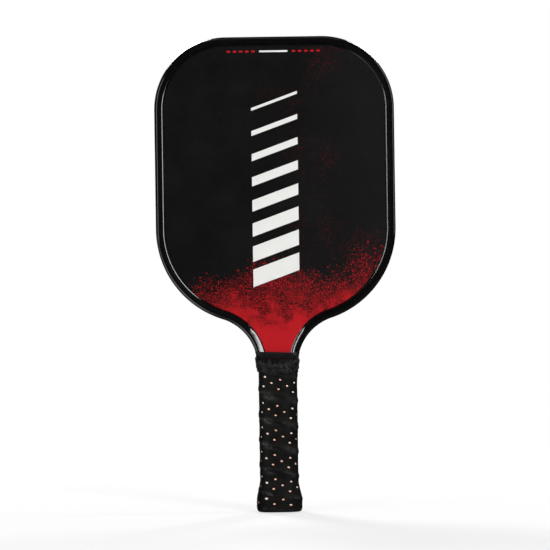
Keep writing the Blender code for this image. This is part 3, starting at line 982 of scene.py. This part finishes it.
def makeGripCushion():
    perTurn, rows = grip["cushionSteps"], grip["cushionRows"]
    steps = round((grip["lastTurn"] - grip["firstTurn"]) * perTurn)
    bm = bmesh.new()
    paintedCornerHighlight = bm.verts.layers.float.new("paintedCornerHighlight")
    before = None
    for i in range(steps + 1):
        turns = grip["firstTurn"] + i / perTurn
        width = bandZ(turns + 1) - bandZ(turns) - grip["cushionGap"]
        line = []
        for row in range(rows + 1):
            across = width * row / rows
            crown = grip["crown"] * bump(across, width / 2, width / grip["crownPart"])
            z = bandZ(turns) + across
            x, y = handlePoint(z, gripAngle(turns), grip["cushionTop"] - grip["crown"] + crown)
            vert = bm.verts.new((x, y, z))
            # painted highlight: strongest on the handle's corners
            vert[paintedCornerHighlight] = cornerShare(turns)
            line.append(vert)
        if before:
            for corners in zip(before, before[1:], line[1:], line):
                bm.faces.new(corners)
        before = line
    trim(bm, grip["lowZ"] + grip["cushionTrim"], grip["highZ"] - grip["cushionTrim"])
    piece = addPiece("gripCushion", bm, cushionOrange, "grip_cushion", grip["sharpAngle"])
    thicken(piece, grip["cushionTop"] - grip["cushionBottom"])


makeGripTape()
makeGripCushion()


# finishing tape

wrap = {
    "width": 0.014,
    "thickness": 0.00025,
    "step": 0.00080,  # outwards for each turn
    "turns": 2.0,
    "climb": 0.014 * 2 / 9,
    "topTurn": 1.5,  # where its upper edge is at the grip's top
    "overHandle": 0.0030,
    "overGuard": 0.0006,
    "guardRun": 0.0035,
    "topSquareness": 7.0,
    "secondTurns": (0.8, 1.2),  # where the second layer starts
    # a groove above the outer layer's lower edge, and the tape drawn in above it
    "grooveAt": 0.0088,
    "grooveDepth": 0.00016,
    "grooveWidth": 0.0005,
    "drawnFrom": (-0.0017, 0.0022),
    "drawnOut": (-0.0004, 0.00005),  # first and second layer
    # folds between the lower edge and the groove
    "foldLow": (0.0003, 0.0014),
    "foldHigh": (-0.0009, 0.0002),
    "foldBase": 0.00006,
    "foldHeight": 0.00050,
    "foldFloor": -0.22,
    "smallShare": 0.5,
    "patchLeast": 0.35,
    "patchEdge": (-0.25, 0.35),
    "swayReach": 0.0013,
    "creaseAt": 0.0031,
    "creaseReach": 0.0005,
    "creaseDepth": 0.00022,
    "creaseWidth": 0.0004,
    "pleatHeight": 0.00009,
    # seeded patterns: size round the tape, size up it, seed
    "radius": 0.017,
    "sway": (0.006, 0.004, 4),
    "folds": (0.00105, 0.012, 5),
    "smallFolds": (0.00055, 0.006, 6),
    "pleats": (0.003, 0.0012, 7),
    "patches": (0.007, 0.009, 8),
    "crease": (0.005, math.inf, 9),
    "turnSteps": 300,
    "rows": 44,
    "wornLeast": 0.3,
    "wornAt": 0.3,  # share of the width
    "wornRows": 12,
    "sharpAngle": 60,
}
wrap["lowZ"] = paddle["gripTop"] - wrap["width"] - wrap["climb"] * wrap["topTurn"]


def wrapBase(z, angle, offset):
    # round over the grip, flat over the guarded throat
    gripA = paddle["handleA"] + wrap["overHandle"]
    gripB = paddle["handleB"] + wrap["overHandle"]
    rise = max(0.0, z - paddle["neckZ"])
    throatA = neckX - math.sqrt(paddle["neckRadius"] ** 2 - rise**2)
    upward = smooth(z, paddle["neckZ"], paddle["gripTop"])
    onGuard = smooth(z, paddle["guardZ"] - wrap["guardRun"], paddle["guardZ"])
    halfA = max(gripA, mix(gripA, throatA, onGuard))
    halfB = mix(gripB, guard["half"] + wrap["overGuard"], upward)
    squareness = mix(paddle["squareness"], wrap["topSquareness"], upward)
    return roundSection(angle, offset, halfA, halfB, squareness)


def wrapOffset(turns, z, low, angle):
    # the inner face: folded below the groove, drawn tight above it
    around = angle * wrap["radius"]

    def pattern(name, place):
        wide, high, seed = wrap[name]
        return ripple(place / wide, z / high, 0.0, seed)

    def rising(level, pair):
        return smooth(z, level + pair[0], level + pair[1])

    second = smooth(turns, *wrap["secondTurns"])
    groove = low + wrap["grooveAt"] + wrap["climb"] * (1 - second)
    drawn = rising(groove, wrap["drawnFrom"])
    offset = mix(wrap["step"] * turns, mix(*wrap["drawnOut"], second), drawn)

    band = rising(low, wrap["foldLow"]) * (1 - rising(groove, wrap["foldHigh"]))
    swayed = around + wrap["swayReach"] * pattern("sway", around)
    folds = pattern("folds", swayed) + wrap["smallShare"] * pattern("smallFolds", swayed)
    patch = mix(wrap["patchLeast"], 1.0, smooth(pattern("patches", around), *wrap["patchEdge"]))
    height = wrap["foldHeight"] * patch * max(wrap["foldFloor"], folds)
    offset += band * (wrap["foldBase"] + height)
    crease = low + wrap["creaseAt"] + wrap["creaseReach"] * pattern("crease", around)
    offset -= band * wrap["creaseDepth"] * bump(z, crease, wrap["creaseWidth"])
    offset += wrap["pleatHeight"] * pattern("pleats", around) * drawn
    return offset - wrap["grooveDepth"] * bump(z, groove, wrap["grooveWidth"])


def makeFinishingTape():
    perTurn, rows = wrap["turnSteps"], wrap["rows"]
    least, wornRow = wrap["wornLeast"], rows * wrap["wornAt"]
    wornAndSheen = [mix(least, 1.0, bump(row, wornRow, wrap["wornRows"])) for row in range(rows + 1)]
    rings = []
    for i in range(round(wrap["turns"] * perTurn) + 1):
        turns = i / perTurn
        angle = math.pi / 2 - math.tau * turns
        low = wrap["lowZ"] + wrap["climb"] * turns
        out, back = [], []
        for row in range(rows + 1):
            z = low + wrap["width"] * row / rows
            offset = wrapOffset(turns, z, low, angle)
            out.append((*wrapBase(z, angle, offset + wrap["thickness"]), z))
            back.append((*wrapBase(z, angle, offset), z))
        rings.append(out + back[::-1])
    bm = loft(rings, [wornAndSheen + wornAndSheen[::-1]] * len(rings))
    addPiece("finishingTape", bm, finishBlack, "finishing_tape", wrap["sharpAngle"])


makeFinishingTape()


# studio: floor, world, lamps and camera

studio = {
    "floorHalf": 14.0,
    "floorParts": 8,
    "floorZ": -0.0004,
    "floorGrey": 0.8,  # as it lights the paddle
    "glow": 0.60,  # as the camera sees it near the paddle: its own light, and what takes the shadow
    "litGrey": 0.40,
    "whiteFrom": (0.35, 1.3),  # distances over which it turns plain white
    # in reflections the floor has a pale card: where its edges start and end, and the levels there
    "cardRight": (-0.22, -0.08, 1.8, 0.10),
    "cardFront": (-0.38, -0.22, 0.06, 1.0),
    "cardBack": (-0.02, 0.08, 1.0, 0.10),
    "worldLevel": 0.15,
    "backdrop": (0.86, 0.99, 0.03, 0.15),  # the same for the room, by how far back a direction points
}


def addShader(tree, kind, values):
    return addNode(tree, kind, values).outputs[0]


def rayKinds(tree):
    # masks of what the camera sees and what reflections see
    path = addNode(tree, "LightPath").outputs
    return calc(tree, "MAXIMUM", path["Is Camera Ray"], path["Is Transmission Ray"]), path["Is Glossy Ray"]


def makeFloor():
    bm = bmesh.new()
    parts = studio["floorParts"]
    bmesh.ops.create_grid(bm, x_segments=parts, y_segments=parts, size=studio["floorHalf"])
    floor = addObject("studioFloor", makeMesh("studioFloor", bm))
    floor.location.z = studio["floorZ"]
    material = bpy.data.materials.new("floor white")
    material.use_nodes = True
    tree = material.node_tree
    tree.nodes.remove(tree.nodes["Principled BSDF"])
    place = addNode(tree, "TexCoord").outputs["Object"]
    seen, glossy = rayKinds(tree)

    # what lights the paddle, what the camera sees, what reflections see
    plain = addShader(tree, "BsdfDiffuse", {"Color": grey(studio["floorGrey"])})
    glow = addShader(tree, "Emission", {"Color": grey(1.0), "Strength": studio["glow"]})
    lit = addShader(tree, "BsdfDiffuse", {"Color": grey(studio["litGrey"])})
    near = addShader(tree, "AddShader", {0: glow, 1: lit})
    white = addShader(tree, "Emission", {"Color": grey(1.0), "Strength": 1.0})
    distance = addNode(tree, "VectorMath", {0: place}, operation="LENGTH").outputs["Value"]
    far = step(tree, distance, *studio["whiteFrom"])
    shown = addShader(tree, "MixShader", {0: far, 1: near, 2: white})
    spot = addNode(tree, "SeparateXYZ", {"Vector": place}).outputs
    ahead = step(tree, spot["Y"], *studio["cardFront"])
    card = times(tree, ahead, step(tree, spot["Y"], *studio["cardBack"]))
    card = times(tree, step(tree, spot["X"], *studio["cardRight"]), card)
    mirrored = addShader(tree, "Emission", {"Color": grey(1.0), "Strength": card})
    either = addShader(tree, "MixShader", {0: seen, 1: plain, 2: shown})
    either = addShader(tree, "MixShader", {0: glossy, 1: either, 2: mirrored})
    feed(tree, tree.nodes["Material Output"].inputs, Surface=either)
    floor.data.materials.append(material)


def makeWorld():
    # white for the camera; in reflections a dim room, a little paler behind the paddle
    world = bpy.data.worlds.new("studio")
    bpy.context.scene.world = world
    world.use_nodes = True
    tree = world.node_tree
    background = tree.nodes["Background"]
    level = studio["worldLevel"]
    seen, glossy = rayKinds(tree)
    direction = addNode(tree, "TexCoord").outputs["Generated"]
    rearward = addNode(tree, "SeparateXYZ", {"Vector": direction}).outputs["Y"]
    change = minus(tree, step(tree, rearward, *studio["backdrop"]), level)
    light = timesPlus(tree, glossy, change, level)
    background.inputs["Color"].default_value = grey(1.0)
    feed(tree, background.inputs, Strength=calc(tree, "MAXIMUM", seen, light))


# bearing from the camera's side towards the right and height above level, in degrees
lamps = {
    "tallRightBox": {"bearing": 25, "rise": 14.5, "width": 0.60, "height": 1.75, "watts": 48},
    "leftBox": {"bearing": -31.5, "rise": 8, "width": 0.30, "height": 1.3, "watts": 20},
    "rightStrip": {"bearing": 93, "rise": 20, "width": 0.60, "height": 2.5, "watts": 17},
    "leftStrip": {"bearing": -52, "rise": 10, "width": 0.55, "height": 1.6, "watts": 14.5},
    "tallRearBox": {"bearing": 200, "rise": 34, "width": 0.60, "height": 1.4, "watts": 52},
    "rearBox": {"bearing": 158, "rise": 31, "width": 0.30, "height": 1.1, "watts": 24},
    "topBox": {"bearing": 0, "rise": 80, "away": 2.5, "width": 1.4, "height": 1.4, "watts": 3},
}
lampTarget = Vector((0.0, 0.0, 0.22))
lampAway = 2.9


def makeLamps():
    for name, lamp in lamps.items():
        data = bpy.data.lights.new(name, "AREA")
        data.shape = "RECTANGLE"
        data.size = lamp["width"]
        data.size_y = lamp["height"]
        data.energy = lamp["watts"]
        bearing, rise = math.radians(lamp["bearing"]), math.radians(lamp["rise"])
        level = math.cos(rise)
        towards = Vector((math.sin(bearing) * level, -math.cos(bearing) * level, math.sin(rise)))
        obj = addObject(name, data)
        obj.location = lampTarget + towards * lamp.get("away", lampAway)
        obj.rotation_euler = (-towards).to_track_quat("-Z", "Y").to_euler()


camera = {
    "place": (-0.0012, -3.0, 0.2002),
    "roll": 0.82,  # degrees
    "inView": 0.4663,  # metres across the picture, at the paddle
    "sensor": 36.0,
    "clipEnd": 60.0,
}


def makeCamera():
    data = bpy.data.cameras.new("photoCamera")
    data.sensor_width = camera["sensor"]
    data.lens = data.sensor_width * -camera["place"][1] / camera["inView"]
    data.clip_end = camera["clipEnd"]
    obj = addObject("photoCamera", data)
    obj.location = camera["place"]
    obj.rotation_euler = (math.pi / 2, math.radians(camera["roll"]), 0.0)
    bpy.context.scene.camera = obj


makeFloor()
makeWorld()
makeLamps()
makeCamera()
bpy.context.scene.view_settings.view_transform = "Standard"
print("studio: floor, world,", len(lamps), "lamps, camera")
